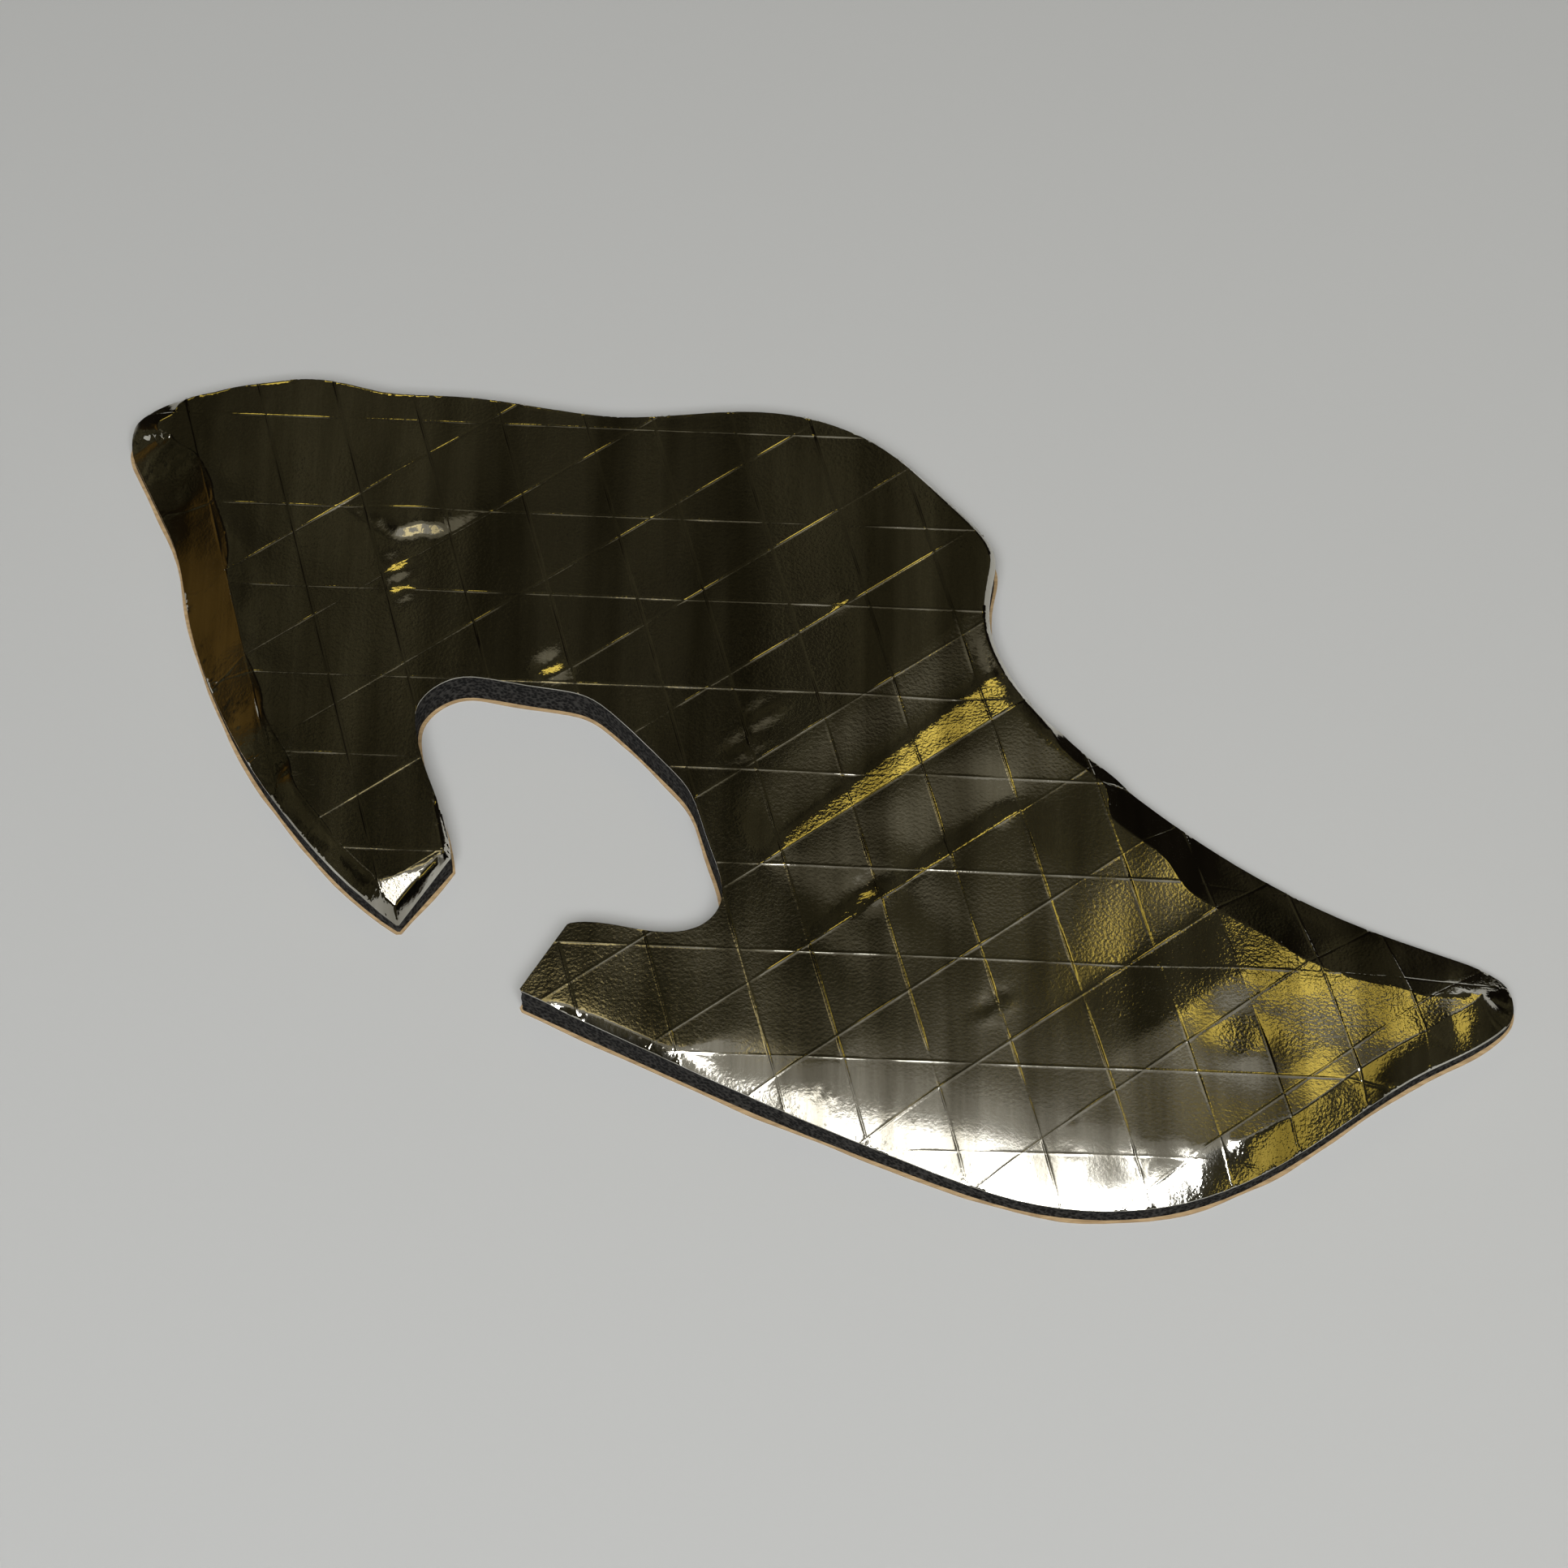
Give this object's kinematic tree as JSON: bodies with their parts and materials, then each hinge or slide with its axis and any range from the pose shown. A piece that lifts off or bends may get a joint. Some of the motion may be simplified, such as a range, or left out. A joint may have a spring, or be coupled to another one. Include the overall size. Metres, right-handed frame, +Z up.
{
  "type": "heat insulation pad",
  "caption": "Flat free-form heat shield pad of foil-faced foam with a C-shaped notch and a peel-off paper back, stuck to a panel to keep heat off it.",
  "frame": {"origin": "centre of the pad's box, on the face of the backing paper", "axes": "+X along the pad's long side towards the narrow tip, +Y across it away from the notch's mouth, +Z up out of the foil"},
  "size_m": [0.2232, 0.1528, 0.0071],
  "materials": {
    "foil": "bright rolled foil with fine scrim ridges",
    "foam": "matt open-cell foam",
    "paper": "plain kraft release paper"
  },
  "bodies": {
    "root": {"foil_facing": "foil", "foam_core": "foam", "backing_paper": "paper"}
  },
  "joints": []
}
